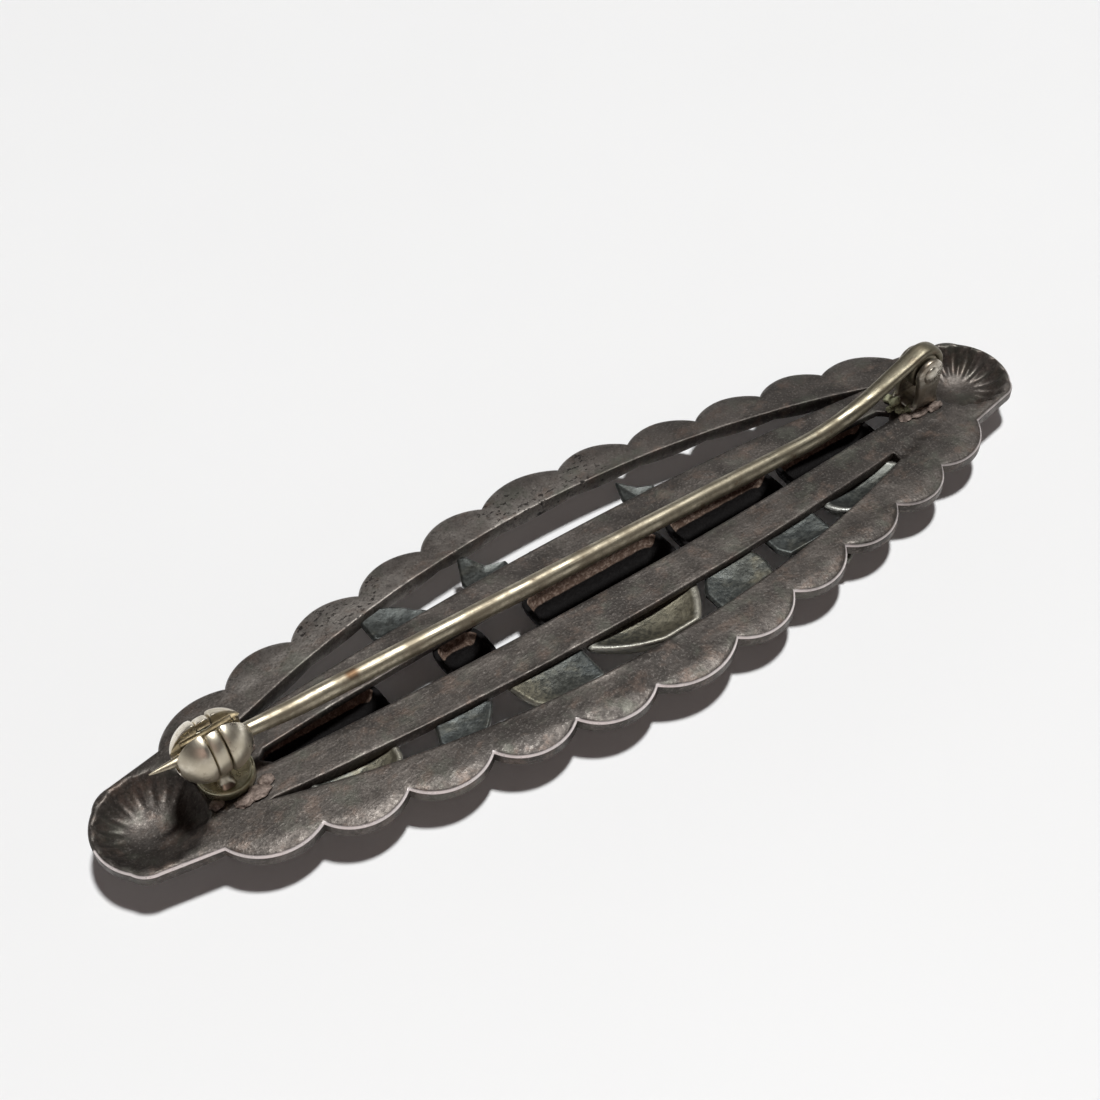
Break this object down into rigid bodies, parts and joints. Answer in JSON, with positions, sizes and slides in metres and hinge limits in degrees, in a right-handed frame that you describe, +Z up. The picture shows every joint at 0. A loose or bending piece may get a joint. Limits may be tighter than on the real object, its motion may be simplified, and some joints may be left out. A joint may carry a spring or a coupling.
{
  "type": "bar hat pin with hinged stem",
  "caption": "Bar-shaped hat pin with scalloped pierced plate, leaf ornaments, hinged pin stem and a turning ball catch.",
  "frame": {"origin": "on the resting surface under the middle of the bar, which lies face down", "axes": "+X along the bar towards the hinge, +Y across the bar, +Z up out of the back face"},
  "size_m": [0.06, 0.0182, 0.0068],
  "materials": {
    "plate_silver": "old silver, oxidised dark brown-grey with pitting and bright worn edges",
    "pod_silver": "deeply oxidised silver with brown corrosion",
    "leaf_silver": "silver with grey-green tarnish",
    "hinge_metal": "dull nickel silver with verdigris",
    "stem_metal": "satin nickel silver, drawn wire",
    "catch_metal": "worn nickel silver, smooth"
  },
  "bodies": {
    "bar": {"back_plate": "plate_silver", "pod_1": "pod_silver", "pod_2": "pod_silver", "pod_3": "pod_silver", "pod_4": "pod_silver", "pod_5": "pod_silver", "near_leaf_1": "leaf_silver", "near_leaf_2": "leaf_silver", "near_leaf_3": "leaf_silver", "near_leaf_4": "leaf_silver", "near_leaf_5": "leaf_silver", "near_leaf_6": "leaf_silver", "near_leaf_7": "leaf_silver", "near_leaf_8": "leaf_silver", "far_leaf_1": "leaf_silver", "far_leaf_2": "leaf_silver", "far_leaf_3": "leaf_silver", "far_leaf_4": "leaf_silver", "under_leaf": "leaf_silver", "hinge_bracket": "hinge_metal", "hinge_rivet": "hinge_metal", "catch_cup": "catch_metal", "catch_ring": "catch_metal"},
    "stem": {"pin_stem": "stem_metal"},
    "catch_barrel": {"catch_sleeve": "catch_metal", "catch_dome_tip_side": "catch_metal", "catch_dome_stem_side": "catch_metal"}
  },
  "joints": [
    {"name": "pin_swing", "type": "hinge", "parent": "bar", "child": "stem", "pos_m": [0.0232, 0, 0.00502], "axis": [0, 1, 0], "range_deg": [0, 110]},
    {"name": "catch_turn", "type": "hinge", "parent": "bar", "child": "catch_barrel", "pos_m": [-0.0232, 0, 0.0053], "axis": [1, 0, 0], "range_deg": [0, 180]}
  ]
}
